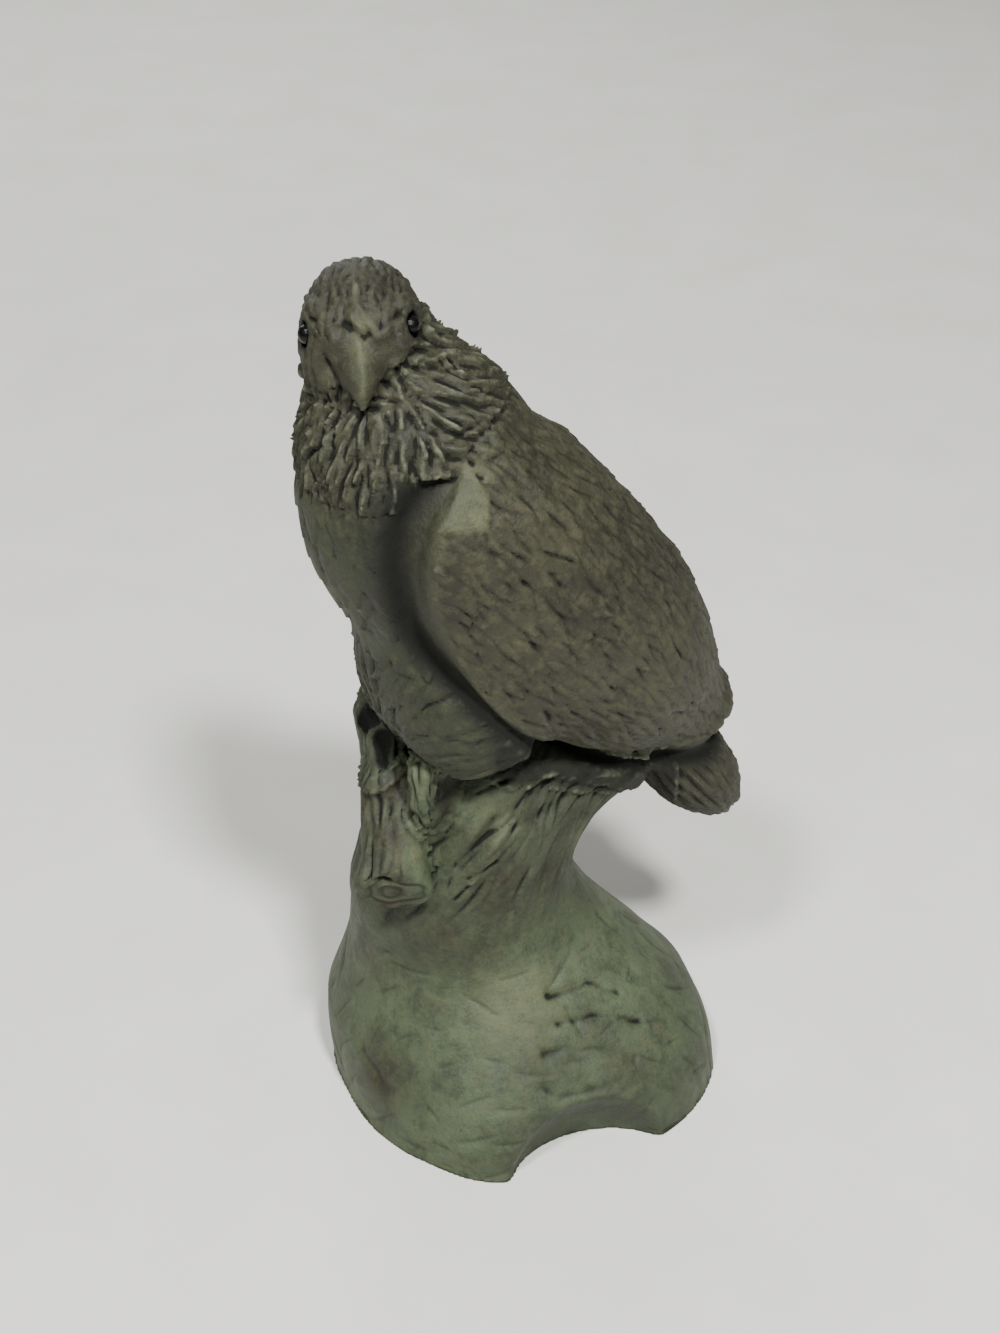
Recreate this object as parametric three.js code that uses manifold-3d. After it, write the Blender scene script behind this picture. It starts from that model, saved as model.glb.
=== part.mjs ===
// A small stone carving of a bird of prey, wings folded, perched on a tree stump.
// Bird, stump and base are one block. The two eyes are black beads let into sockets in the head.
// The block is described as a carver sees it: rounded lumps that run together, then hollows cut out of them.
// Marching cubes draws the skin of that description, and edge collapses thin the skin where it is smooth.
// Millimetres, +Z up. The origin is on the underside, below the stump. The face looks towards -Y.
import * as THREE from 'three';
import { edgeTable, triTable } from 'three/addons/objects/MarchingCubes.js';
import Module from 'manifold-3d';

// Driving sizes
const BIRD_HEIGHT = 101.6; // from the perch to the crown
const STUMP_HEIGHT = 78; // from the ground to the perch
const BASE_WIDTH = 81; // left to right
const BASE_DEPTH = 75.2; // front corner to back
const BASE_WALL = 13; // height of the base's side before it slopes in
const EYE_DIAMETER = 3.4;
const EYE_GAP = 0.3; // clearance of a bead in its socket
const LATTICE_STEP = 1.6; // spacing of the samples
const SKIN_TRIANGLES = 8200; // what the thinned skin may hold

const HEAD_WEIGHT = 200; // how much more the head's shape counts in the thinning
const FEET_WEIGHT = 5; // and that of the feet
const FEET_REACH = 22; // up and down from the perch
const STUB_REACH = 8; // how far in front of the middle they begin

// How the figure stands
const BIRD_PLACE = [12, 0]; // where the bird's own upright axis meets the ground
const BIRD_TURN = 60; // degrees that the breast is turned from -Y towards -X
const HEAD_TURN = 2; // degrees that the face is turned from -Y towards +X
const HEAD_DIP = 12; // degrees that the beak dips
const HEAD_TILT = 5; // degrees that the head leans to the bird's right

// The forms below are drawn for a bird 101.6 tall on a stump 78 tall and a base 81 wide and 75.2 deep
const birdScale = BIRD_HEIGHT / 101.6;
const stumpScale = STUMP_HEIGHT / 78;
const widthScale = BASE_WIDTH / 81;
const depthScale = BASE_DEPTH / 75.2;

const { abs, cos, hypot, max, min, sin, sqrt } = Math;
const radians = THREE.MathUtils.degToRad;

// Soft joining, overlap and cutting of distances, each over a width of k, and a soft step from 0 to 1
const join = (a, b, k) => {
  const h = max(k - abs(a - b), 0) / k;
  return min(a, b) - h * h * k * 0.25;
};
const overlap = (a, b, k) => -join(-a, -b, k);
const cut = (a, b, k) => -join(-a, b, k);
const smooth = (value) => {
  const t = min(max(value, 0), 1);
  return t * t * (3 - 2 * t);
};

// An ellipsoid with the half-axes in size, turned by degrees about X, Y and Z
function ellipsoid(at, size, turn = [0, 0, 0]) {
  const rotation = new THREE.Matrix4().makeRotationFromEuler(new THREE.Euler(...turn.map(radians)));
  const m = rotation.elements;
  const [rx, ry, rz] = size;
  return (x, y, z) => {
    const px = x - at[0];
    const py = y - at[1];
    const pz = z - at[2];
    const qx = (m[0] * px + m[1] * py + m[2] * pz) / rx;
    const qy = (m[4] * px + m[5] * py + m[6] * pz) / ry;
    const qz = (m[8] * px + m[9] * py + m[10] * pz) / rz;
    const k0 = sqrt(qx * qx + qy * qy + qz * qz);
    const k1 = sqrt((qx * qx) / (rx * rx) + (qy * qy) / (ry * ry) + (qz * qz) / (rz * rz));
    return k1 === 0 ? -min(rx, ry, rz) : (k0 * (k0 - 1)) / k1;
  };
}

// A round rod between two points, each [x, y, z, radius]
function rod(a, b) {
  const [bx, by, bz, br] = b.map((v, i) => v - a[i]);
  const length2 = bx * bx + by * by + bz * bz;
  return (x, y, z) => {
    const px = x - a[0];
    const py = y - a[1];
    const pz = z - a[2];
    const t = min(max((px * bx + py * by + pz * bz) / length2, 0), 1);
    const dx = px - t * bx;
    const dy = py - t * by;
    const dz = pz - t * bz;
    return sqrt(dx * dx + dy * dy + dz * dz) - a[3] - t * br;
  };
}

// Rods end to end through the points, softly joined
function chain(points, k = 1) {
  const rods = points.slice(1).map((p, i) => rod(points[i], p));
  return (x, y, z) => {
    let d = rods[0](x, y, z);
    for (let i = 1; i < rods.length; i += 1) d = join(d, rods[i](x, y, z), k);
    return d;
  };
}

// Lumps in order, each [form, width of its blend with what is there]
function lumps(list) {
  return (x, y, z) => {
    let d = list[0][0](x, y, z);
    for (let i = 1; i < list.length; i += 1) d = join(d, list[i][0](x, y, z), list[i][1]);
    return d;
  };
}

// The bird, drawn in its own frame: x forward, y to its left, z up from the perch
const torso = lumps([
  [ellipsoid([27, -1, 58], [27, 20, 22], [0, -75, 0]), 1], // breast
  [ellipsoid([5, 0, 37], [40, 22, 19.5], [0, -50, 0]), 12], // mantle
  [ellipsoid([19, -1, 31], [19, 18, 20]), 10], // belly
  [rod([28.5, -3, 71.5, 15.5], [34.5, -6, 87, 9.8]), 10], // neck
  [rod([-8, 0, 20, 15], [-28.5, 0, 0, 7]), 10], // rump
]);

// A folded wing: the torso raised by its thickness, within an oval in side view, and run out at the neck
const WING = { at: [-2.5, 34.5], size: [50, 26], slope: 42, thickness: 3.2, fadeFrom: 62, fadeTo: 76 };
function wings(x, y, z) {
  const c = cos(radians(WING.slope));
  const s = sin(radians(WING.slope));
  const along = ((x - WING.at[0]) * c + (z - WING.at[1]) * s) / WING.size[0];
  const across = ((z - WING.at[1]) * c - (x - WING.at[0]) * s) / WING.size[1];
  const oval = (hypot(along, across) - 1) * WING.size[1];
  const full = smooth((WING.fadeTo - z) / (WING.fadeTo - WING.fadeFrom));
  return overlap(torso(x, y, z) - WING.thickness * full, oval, 2);
}

// The ruff: rings of lancet tufts down the neck, each lying on the torso with its tip raised
const RUFF = {
  rings: 4,
  tufts: 11,
  top: [34.5, -6, 84],
  bottom: [24, -1, 52],
  root: 3.4,
  tip: 2,
  raise: 1.3,
};

// The point where a line out from inside a form meets its surface
function surfaceFrom(form, from, direction) {
  const point = [...from];
  for (let i = 0; i < 40; i += 1) {
    const d = form(...point);
    for (let n = 0; n < 3; n += 1) point[n] -= 0.8 * d * direction[n];
  }
  return point;
}

const tufts = [];
for (let ring = 0; ring < RUFF.rings; ring += 1) {
  for (let i = 0; i < RUFF.tufts; i += 1) {
    const angle = ((i + 0.5 * (ring % 2)) / RUFF.tufts) * 2 * Math.PI;
    const drop = 0.25 * (1 - cos(angle)); // the rings hang lower at the breast than on the back
    const ends = [ring, ring + 1.35].map((row) => {
      const t = (row / RUFF.rings) * (1 - drop);
      const from = RUFF.top.map((v, n) => v + t * (RUFF.bottom[n] - v));
      return surfaceFrom(torso, from, [cos(angle), sin(angle), 0.25]);
    });
    tufts.push(rod([...ends[0], RUFF.root], [...ends[1], RUFF.tip]));
  }
}

const RUFF_FROM = 40;
function ruff(x, y, z, d) {
  if (z < RUFF_FROM || abs(d) > 5) return d;
  let nearest = Infinity;
  for (const tuft of tufts) nearest = min(nearest, tuft(x, y, z));
  return join(d, nearest + RUFF.root - RUFF.raise, 0.8);
}

const tail = ellipsoid([-29, 0, -13], [21, 11, 9.5], [0, -52, 0]);
const thighs = [1, -1].map((side) => ellipsoid([23.5, side * 7 + 1, 21], [12, 10, 15], [0, 12, 0]));

// Toes over the edge of the perch, each from its root over the knuckle to the claw: [x, y, z, radius]
const toes = [
  [
    [24, -13, 8, 5],
    [29.5, -15, 7.5, 6],
    [30.5, -14.5, -5, 4.2],
    [29.5, -13, -13, 3],
  ],
  [
    [29, -7, 8, 3.6],
    [34, -6.5, 8, 3.3],
    [35, -5.5, 1, 3.6],
    [34.5, -5, -5, 1.8],
  ],
  [
    [28, 4, 9, 3.6],
    [33, 6, 7.5, 3],
    [34, 8, 0, 2.6],
    [33, 9.5, -5.5, 1.2],
  ],
].map((points) => chain(points, 1));

function birdForm(x, y, z) {
  let d = torso(x, y, z);
  d = ruff(x, y, z, join(d, wings(x, y, z), 0.8));
  d = join(d, tail(x, y, z), 4);
  for (const thigh of thighs) d = join(d, thigh(x, y, z), 8);
  for (const toe of toes) d = join(d, toe(x, y, z), 1);
  return d;
}

// The head, drawn in its own frame: x to the bird's left, -y forward, z up, from the middle of the skull
const HEAD_PLACE = [35.8, -5.9, 91];
const EYE_PLACE = [8.4, -4.6, 2.6];
const HEAD = [
  [ellipsoid([0, 1.5, 0.2], [9.6, 11.5, 10.2]), 1], // skull
  [ellipsoid([4.8, -3.5, -3.5], [5, 7.5, 6.5]), 4], // cheeks
  [ellipsoid([-4.8, -3.5, -3.5], [5, 7.5, 6.5]), 4],
  [ellipsoid([5, -4, 2], [3.6, 6, 4.5]), 3], // temples
  [ellipsoid([-5, -4, 2], [3.6, 6, 4.5]), 3],
  [rod([0, -6, 0.5, 6], [0, -11.5, -1, 3.6]), 2.5], // beak
  [rod([0, -11.5, -0.8, 3.4], [0, -14.4, -2.8, 1.8]), 1.5],
  [rod([0, -14.4, -2.8, 1.8], [0, -15, -5.2, 0.9]), 1], // its hook
  [rod([3.5, -9, 4.4, 1.5], [7.4, -3, 5.4, 1.6]), 2], // brows
  [rod([-3.5, -9, 4.4, 1.5], [-7.4, -3, 5.4, 1.6]), 2],
];
const headForm = lumps(HEAD);

// Frames as matrices, from the drawn frame to the block's
const birdFrame = new THREE.Matrix4()
  .makeTranslation(BIRD_PLACE[0] * widthScale, BIRD_PLACE[1] * depthScale, STUMP_HEIGHT)
  .multiply(new THREE.Matrix4().makeRotationZ(radians(-90 - BIRD_TURN)))
  .multiply(new THREE.Matrix4().makeScale(birdScale, birdScale, birdScale));
const headMiddle = new THREE.Vector3(...HEAD_PLACE).applyMatrix4(birdFrame);
const headFrame = new THREE.Matrix4()
  .makeTranslation(...headMiddle)
  .multiply(new THREE.Matrix4().makeRotationZ(radians(HEAD_TURN)))
  .multiply(new THREE.Matrix4().makeRotationX(radians(HEAD_DIP)))
  .multiply(new THREE.Matrix4().makeRotationY(radians(-HEAD_TILT)))
  .multiply(new THREE.Matrix4().makeScale(birdScale, birdScale, birdScale));

// A form drawn in a frame, as a form in the block's frame
function placed(form, frame, scale) {
  const m = frame.clone().invert().elements;
  return (x, y, z) =>
    scale *
    form(
      m[0] * x + m[4] * y + m[8] * z + m[12],
      m[1] * x + m[5] * y + m[9] * z + m[13],
      m[2] * x + m[6] * y + m[10] * z + m[14],
    );
}

const bird = placed(birdForm, birdFrame, birdScale);
const head = placed(headForm, headFrame, birdScale);

// The base: a rounded outline, a side that slopes in above its wall, and a scoop out of the front right
const CORNERS = [
  [-1, -43],
  [37, -28],
  [49, -6],
  [41, 26],
  [8, 39],
  [-24, 30],
  [-37, 2],
  [-26, -28],
];
const CORNER_BLEND = 8;
const SLOPE_ROUND = 8;
const scoop = ellipsoid([20, -37, -2], [17, 12, 17], [0, 0, 20]);

function baseForm(x, y, z) {
  let wall = -Infinity;
  CORNERS.forEach(([ax, ay], i) => {
    const [bx, by] = CORNERS[(i + 1) % CORNERS.length];
    const side = ((x - ax) * (by - ay) - (y - ay) * (bx - ax)) / hypot(bx - ax, by - ay);
    wall = i === 0 ? side : overlap(wall, side, CORNER_BLEND);
  });
  const above = z - BASE_WALL;
  return (wall + 0.5 * (above + hypot(above, SLOPE_ROUND))) * 0.75;
}

// The stump: a trunk that leans back under the rump, and a sawn branch stub under the toes
const trunk = chain(
  [
    [-4, 3, 20, 30.5],
    [-7, 1, 44, 20.5],
    [-5, -1, 60, 18.2],
    [-4.5, -2, 70, 18],
  ],
  8,
);
const flare = rod([-4, 0, 62, 16], [19, 7, 77, 14]);
const STUB = {
  root: [-19.5, -12, 76, 6.3],
  end: [-18.3, -26, 58, 6.5],
  cutAt: [-18.7, -24.5, 59.5],
  cutDip: 25, // degrees that the sawn face looks down
};
function stub(x, y, z) {
  const dip = radians(STUB.cutDip);
  const beyond = -(y - STUB.cutAt[1]) * cos(dip) - (z - STUB.cutAt[2]) * sin(dip);
  return overlap(stubRod(x, y, z), beyond, 0.8);
}
const stubRod = rod(STUB.root, STUB.end);
const recess = ellipsoid([-10, -22, 77], [3, 5, 7], [0, 8, 0]);

function stumpForm(x, y, z) {
  const [wx, dy] = [x / widthScale, y / depthScale];
  const sz = z / stumpScale;
  let d = baseForm(wx, dy, z);
  d = join(d, trunk(wx, dy, sz), 9);
  d = join(d, flare(wx, dy, sz), 8);
  d = join(d, stub(wx, dy, sz), 1.5);
  d = cut(d, recess(wx, dy, sz), 1.5);
  return cut(d, scoop(wx, dy, z), 4);
}

// The whole block. Where only the stump or only the bird can be near, the other isn't asked.
const STUMP_ONLY_BELOW = STUMP_HEIGHT - 0.5 * BIRD_HEIGHT;
const BIRD_ONLY_ABOVE = STUMP_HEIGHT + 0.3 * BIRD_HEIGHT;
const HEAD_ABOVE = STUMP_HEIGHT + 0.62 * BIRD_HEIGHT;
function blockForm(x, y, z) {
  if (z < STUMP_ONLY_BELOW) return stumpForm(x, y, z);
  let d = bird(x, y, z);
  if (z > HEAD_ABOVE) d = join(d, head(x, y, z), 3);
  return z > BIRD_ONLY_ABOVE ? d : join(stumpForm(x, y, z), d, 2);
}

// Draws the skin of a form on a lattice, as points and triangles that share them
const CUBE_CORNERS = [
  [0, 0, 0],
  [1, 0, 0],
  [1, 1, 0],
  [0, 1, 0],
  [0, 0, 1],
  [1, 0, 1],
  [1, 1, 1],
  [0, 1, 1],
];
const CUBE_EDGES = [
  [0, 1],
  [1, 2],
  [2, 3],
  [3, 0],
  [4, 5],
  [5, 6],
  [6, 7],
  [7, 4],
  [0, 4],
  [1, 5],
  [2, 6],
  [3, 7],
];

function skinOf(form, low, high, step) {
  const [nx, ny, nz] = low.map((v, i) => Math.ceil((high[i] - v) / step) + 1);
  const values = new Float32Array(nx * ny * nz);
  const at = (i, j, k) => i + nx * (j + ny * k);
  const value = (i, j, k) => form(low[0] + i * step, low[1] + j * step, low[2] + k * step);

  // Whole cells of samples that lie well clear of the surface take the value of their middle
  const cell = 5;
  const reach = step * cell * 1.5;
  for (let k0 = 0; k0 < nz; k0 += cell) {
    for (let j0 = 0; j0 < ny; j0 += cell) {
      for (let i0 = 0; i0 < nx; i0 += cell) {
        const middle = value(i0 + cell / 2, j0 + cell / 2, k0 + cell / 2);
        const clear = abs(middle) > reach;
        for (let k = k0; k < min(k0 + cell, nz); k += 1) {
          for (let j = j0; j < min(j0 + cell, ny); j += 1) {
            for (let i = i0; i < min(i0 + cell, nx); i += 1) {
              values[at(i, j, k)] = clear ? middle : value(i, j, k) || step * 1e-6;
            }
          }
        }
      }
    }
  }

  const points = [];
  const triangles = [];
  const known = new Map();
  const pointOn = (i, j, k, edge) => {
    const [a, b] = CUBE_EDGES[edge].map((c) => [
      i + CUBE_CORNERS[c][0],
      j + CUBE_CORNERS[c][1],
      k + CUBE_CORNERS[c][2],
    ]);
    const [ia, ib] = [at(...a), at(...b)];
    const key = min(ia, ib) * 3 + a.findIndex((v, n) => v !== b[n]);
    if (!known.has(key)) {
      const t = min(max(values[ia] / (values[ia] - values[ib]), 0.02), 0.98);
      known.set(key, points.length);
      points.push(a.map((v, n) => low[n] + step * (v + t * (b[n] - v))));
    }
    return known.get(key);
  };
  for (let k = 0; k < nz - 1; k += 1) {
    for (let j = 0; j < ny - 1; j += 1) {
      for (let i = 0; i < nx - 1; i += 1) {
        let kind = 0;
        for (let n = 0; n < 8; n += 1) {
          const [ci, cj, ck] = CUBE_CORNERS[n];
          if (values[at(i + ci, j + cj, k + ck)] < 0) kind += 2 ** n;
        }
        if (edgeTable[kind] === 0) continue;
        for (let n = kind * 16; triTable[n] !== -1; n += 3) {
          triangles.push([2, 1, 0].map((m) => pointOn(i, j, k, triTable[n + m])));
        }
      }
    }
  }
  return { points, triangles };
}

// Evens out a skin: each point moves to the middle of its neighbours, and back onto the form
function relax(points, triangles, form, rounds) {
  const neighbours = points.map(() => new Set());
  for (const [u, v, w] of triangles) {
    neighbours[u].add(v).add(w);
    neighbours[v].add(u).add(w);
    neighbours[w].add(u).add(v);
  }
  const h = 0.05;
  for (let round = 0; round < rounds; round += 1) {
    const moved = points.map((point, i) => {
      const sum = [0, 0, 0];
      for (const v of neighbours[i]) points[v].forEach((c, n) => (sum[n] += c));
      const [x, y, z] = sum.map((c, n) => 0.3 * point[n] + (0.7 * c) / neighbours[i].size);
      const d = form(x, y, z);
      const slope = [form(x + h, y, z) - d, form(x, y + h, z) - d, form(x, y, z + h) - d];
      const steep = slope.reduce((a, c) => a + c * c, 0) || 1;
      return [x, y, z].map((c, n) => c - (d * h * slope[n]) / steep);
    });
    moved.forEach((point, i) => (points[i] = point));
  }
}

// Thins a skin to a number of triangles. Each edge has a loss, how far the skin would move from the
// planes it was drawn with if the edge closed up to a point, and the edges with the least loss go first.
const crossOf = (p, q, r) => {
  const [ux, uy, uz] = [q[0] - p[0], q[1] - p[1], q[2] - p[2]];
  const [vx, vy, vz] = [r[0] - p[0], r[1] - p[1], r[2] - p[2]];
  return [uy * vz - uz * vy, uz * vx - ux * vz, ux * vy - uy * vx];
};
const apart = (p, q) => hypot(p[0] - q[0], p[1] - q[1], p[2] - q[2]);
// How far a triangle is from a sliver
const plumpness = ([p, q, r], cross) => hypot(...cross) / max(apart(p, q), apart(q, r), apart(r, p)) ** 2;

function planesAt(points, triangles, weightAt) {
  const planes = new Float64Array(points.length * 10);
  for (const triangle of triangles) {
    const [p, q, r] = triangle.map((v) => points[v]);
    const cross = crossOf(p, q, r);
    const area = hypot(...cross) || 1;
    const [a, b, c] = cross.map((v) => v / area);
    const d = -(a * p[0] + b * p[1] + c * p[2]);
    const products = [a * a, a * b, a * c, a * d, b * b, b * c, b * d, c * c, c * d, d * d];
    const weight = area * weightAt(...p);
    for (const v of triangle) {
      for (let m = 0; m < 10; m += 1) planes[v * 10 + m] += products[m] * weight;
    }
  }
  return planes;
}

// Where an edge closes up to, and the loss: q holds the planes of both ends
const q = new Float64Array(10);
const matrix = new THREE.Matrix3();
const spot = new THREE.Vector3();
function closeUp(planes, points, a, b) {
  for (let m = 0; m < 10; m += 1) q[m] = planes[a * 10 + m] + planes[b * 10 + m];
  const [p, r] = [points[a], points[b]];
  let [x, y, z] = [(p[0] + r[0]) / 2, (p[1] + r[1]) / 2, (p[2] + r[2]) / 2];
  matrix.set(q[0], q[1], q[2], q[1], q[4], q[5], q[2], q[5], q[7]);
  if (abs(matrix.determinant()) > 1e-5 * (q[0] + q[4] + q[7]) ** 3) {
    spot.set(-q[3], -q[6], -q[8]).applyMatrix3(matrix.invert());
    if (hypot(spot.x - x, spot.y - y, spot.z - z) < apart(p, r)) [x, y, z] = [spot.x, spot.y, spot.z];
  }
  const loss =
    q[0] * x * x + q[4] * y * y + q[7] * z * z + q[9] +
    2 * (q[1] * x * y + q[2] * x * z + q[5] * y * z + q[3] * x + q[6] * y + q[8] * z);
  return [x, y, z, loss];
}

// A heap of edges, each [loss, a, b, age of a, age of b], the least loss on top
function push(heap, edge) {
  let i = heap.length;
  heap.push(edge);
  while (i > 0) {
    const up = (i - 1) >> 1;
    if (heap[up][0] <= edge[0]) break;
    heap[i] = heap[up];
    i = up;
  }
  heap[i] = edge;
}

function pop(heap) {
  const top = heap[0];
  const last = heap.pop();
  if (heap.length === 0) return top;
  let i = 0;
  for (;;) {
    let down = 2 * i + 1;
    if (down >= heap.length) break;
    if (down + 1 < heap.length && heap[down + 1][0] < heap[down][0]) down += 1;
    if (heap[down][0] >= last[0]) break;
    heap[i] = heap[down];
    i = down;
  }
  heap[i] = last;
  return top;
}

function thin(points, triangles, target, weightAt) {
  const planes = planesAt(points, triangles, weightAt);
  const faces = triangles.map((face) => [...face]);
  const around = points.map(() => []);
  faces.forEach((face, i) => face.forEach((v) => around[v].push(i)));
  const age = new Int32Array(points.length);
  let heap = [];
  let left = faces.length;
  const offer = (a, b) => push(heap, [closeUp(planes, points, a, b)[3], a, b, age[a], age[b]]);

  // Closes up one edge, unless that would fold the skin, tear it or leave a sliver
  const close = (a, b, plumpEnough) => {
    const [ringA, ringB] = [a, b].map((v) => new Set(around[v].flatMap((i) => faces[i])));
    const shared = [...ringA].filter((v) => ringB.has(v)).length;
    if (shared !== 4) return; // the two ends and the two corners across the edge
    const place = closeUp(planes, points, a, b).slice(0, 3);
    const spoils = (i) => {
      const face = faces[i];
      if (face.includes(a) && face.includes(b)) return false;
      const before = face.map((v) => points[v]);
      const after = face.map((v) => (v === a || v === b ? place : points[v]));
      const [n, m] = [crossOf(...before), crossOf(...after)];
      const along = n[0] * m[0] + n[1] * m[1] + n[2] * m[2];
      return along < 0.4 * hypot(...n) * hypot(...m) || plumpness(after, m) < plumpEnough;
    };
    if (around[a].some(spoils) || around[b].some(spoils)) return;
    for (const i of around[b]) {
      if (faces[i].includes(a)) {
        faces[i] = null;
        left -= 1;
      } else {
        faces[i] = faces[i].map((v) => (v === b ? a : v));
        around[a].push(i);
      }
    }
    for (let m = 0; m < 10; m += 1) planes[a * 10 + m] += planes[b * 10 + m];
    points[a] = place;
    age[a] += 1;
    age[b] = -1;
    const ring = new Set([...ringA, ...ringB]);
    ring.delete(b);
    for (const v of ring) around[v] = around[v].filter((i) => faces[i]);
    ring.delete(a);
    for (const v of ring) offer(a, v);
  };

  // Each pass offers every edge again, and asks for less plump triangles than the pass before
  for (let plumpEnough = 0.35; left > target && plumpEnough > 0.02; plumpEnough *= 0.7) {
    heap = [];
    for (const [u, v, w] of faces.filter((face) => face)) {
      if (u < v) offer(u, v);
      if (v < w) offer(v, w);
      if (w < u) offer(w, u);
    }
    while (left > target && heap.length > 0) {
      const [, a, b, ageA, ageB] = pop(heap);
      if (age[a] === ageA && age[b] === ageB) close(a, b, plumpEnough);
    }
  }
  return faces.filter((face) => face);
}

const { Manifold, Mesh } = await Module().then((module) => {
  module.setup();
  return module;
});

// A closed solid from points and triangles, and from a geometry
function solidFrom(points, triangles) {
  const used = [...new Set(triangles.flat())];
  const index = new Map(used.map((v, i) => [v, i]));
  return new Manifold(
    new Mesh({
      numProp: 3,
      vertProperties: new Float32Array(used.flatMap((v) => points[v])),
      triVerts: new Uint32Array(triangles.flatMap((t) => t.map((v) => index.get(v)))),
    }),
  );
}

function solidOf(geometry) {
  const positions = geometry.attributes.position;
  const points = [];
  const known = new Map();
  const same = Array.from({ length: positions.count }, (_, i) => {
    const point = [positions.getX(i), positions.getY(i), positions.getZ(i)];
    const key = point.map((v) => Math.round(v * 1e4)).join();
    if (!known.has(key)) {
      known.set(key, points.length);
      points.push(point);
    }
    return known.get(key);
  });
  const order = geometry.index ? Array.from(geometry.index.array) : same.map((_, i) => i);
  const triangles = [];
  for (let i = 0; i < order.length; i += 3) {
    const t = [same[order[i]], same[order[i + 1]], same[order[i + 2]]];
    if (new Set(t).size === 3) triangles.push(t);
  }
  return solidFrom(points, triangles);
}

function geometryOf(solid) {
  const { vertProperties, triVerts, numProp } = solid.getMesh();
  const positions = new Float32Array((vertProperties.length / numProp) * 3);
  for (let i = 0; i < positions.length; i += 1) {
    positions[i] = vertProperties[Math.floor(i / 3) * numProp + (i % 3)];
  }
  const geometry = new THREE.BufferGeometry();
  geometry.setAttribute('position', new THREE.BufferAttribute(positions, 3));
  geometry.setIndex(Array.from(triVerts));
  geometry.computeVertexNormals();
  return geometry;
}

// The block's skin runs on a little below the ground, where a plane closes it
const height = STUMP_HEIGHT + BIRD_HEIGHT;
const reach = 0.5 * max(BASE_WIDTH, BASE_DEPTH) + 0.24 * BIRD_HEIGHT;
const below = 2 * LATTICE_STEP;
const closedForm = (x, y, z) => max(blockForm(x, y, z), -z - 0.7 * below);
const { points, triangles } = skinOf(
  closedForm,
  [-reach, -reach, -below],
  [reach, reach, height + 6],
  LATTICE_STEP,
);
relax(points, triangles, closedForm, 3);

// The head and the feet keep finer triangles than the rest
const headReach = 0.17 * BIRD_HEIGHT;
const weightAt = (x, y, z) => {
  if (hypot(x - headMiddle.x, y - headMiddle.y, z - headMiddle.z) < headReach) return HEAD_WEIGHT;
  return y < -STUB_REACH && abs(z - STUMP_HEIGHT) < FEET_REACH ? FEET_WEIGHT : 1;
};
const skin = thin(points, triangles, SKIN_TRIANGLES, weightAt);

// Points that nearly lie in the ground plane are kept clear of it
const CLEAR = 0.3;
for (const point of points) {
  if (abs(point[2]) < CLEAR) point[2] = point[2] < 0 ? -CLEAR : CLEAR;
}

// The block, with its flat underside and two eye sockets
const eyeRadius = EYE_DIAMETER / 2;
const eyePlaces = [1, -1].map((side) =>
  new THREE.Vector3(side * EYE_PLACE[0], EYE_PLACE[1], EYE_PLACE[2]).applyMatrix4(headFrame),
);
const ground = new THREE.BoxGeometry(4 * reach, 4 * reach, 4 * below).translate(0, 0, -2 * below);
const sockets = eyePlaces.map((at) =>
  new THREE.SphereGeometry(eyeRadius + EYE_GAP, 16, 12).translate(at.x, at.y, at.z),
);
let carvingSolid = solidFrom(points, skin).subtract(solidOf(ground));
for (const socket of sockets) carvingSolid = carvingSolid.subtract(solidOf(socket));

const stone = new THREE.MeshStandardMaterial({ color: 0x55594a, roughness: 0.75, metalness: 0 });
const blackBead = new THREE.MeshStandardMaterial({ color: 0x0b0b0c, roughness: 0.15, metalness: 0 });

const sculpture = new THREE.Group();
const carving = new THREE.Mesh(geometryOf(carvingSolid), stone);
carving.name = 'carving';
sculpture.add(carving);
['left_eye', 'right_eye'].forEach((name, i) => {
  const eye = new THREE.Mesh(new THREE.SphereGeometry(eyeRadius, 20, 14), blackBead);
  eye.name = name;
  eye.position.copy(eyePlaces[i]);
  sculpture.add(eye);
});

export default sculpture;
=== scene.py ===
"""The looks of a small stone carving: a bird of prey on a tree stump, bird, stump and base in one block.

The block is described as lumps that run together and hollows cut out of them, in the frame of the CAD
part. A fine skin is drawn through that description, the carver's strokes are pressed into it, and it is
painted with a stone, with painted shade in its hollows and a painted highlight on its ridges. Lengths
are in millimetres until the meshes are made.
"""

import math

import bpy
import numpy as np
from mathutils import Euler, Matrix, Vector


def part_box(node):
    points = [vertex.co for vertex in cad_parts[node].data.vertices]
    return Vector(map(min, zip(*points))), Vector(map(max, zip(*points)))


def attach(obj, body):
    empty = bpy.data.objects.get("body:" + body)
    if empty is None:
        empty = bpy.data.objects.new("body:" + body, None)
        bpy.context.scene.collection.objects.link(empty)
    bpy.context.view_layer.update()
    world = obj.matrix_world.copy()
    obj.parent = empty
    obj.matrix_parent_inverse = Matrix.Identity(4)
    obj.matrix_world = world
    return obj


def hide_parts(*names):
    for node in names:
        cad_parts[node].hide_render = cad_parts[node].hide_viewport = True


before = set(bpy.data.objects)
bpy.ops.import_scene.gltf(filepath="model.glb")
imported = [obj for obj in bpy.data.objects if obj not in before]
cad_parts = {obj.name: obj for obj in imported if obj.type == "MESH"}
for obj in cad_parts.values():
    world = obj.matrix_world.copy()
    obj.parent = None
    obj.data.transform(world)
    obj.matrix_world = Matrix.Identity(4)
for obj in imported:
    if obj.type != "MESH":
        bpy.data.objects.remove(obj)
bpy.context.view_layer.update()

MM = 0.001
STEP = 0.55  # spacing of the samples that the skin is drawn through
SKIN_FACES = 194000  # triangles that are left after thinning
SEED = 7
rng = np.random.default_rng(SEED)


# Soft joining, overlap and cutting of distances, each over a width of k, and a soft step from 0 to 1
def join(a, b, k):
    h = np.maximum(k - np.abs(a - b), 0) / k
    return np.minimum(a, b) - h * h * k * 0.25


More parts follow.
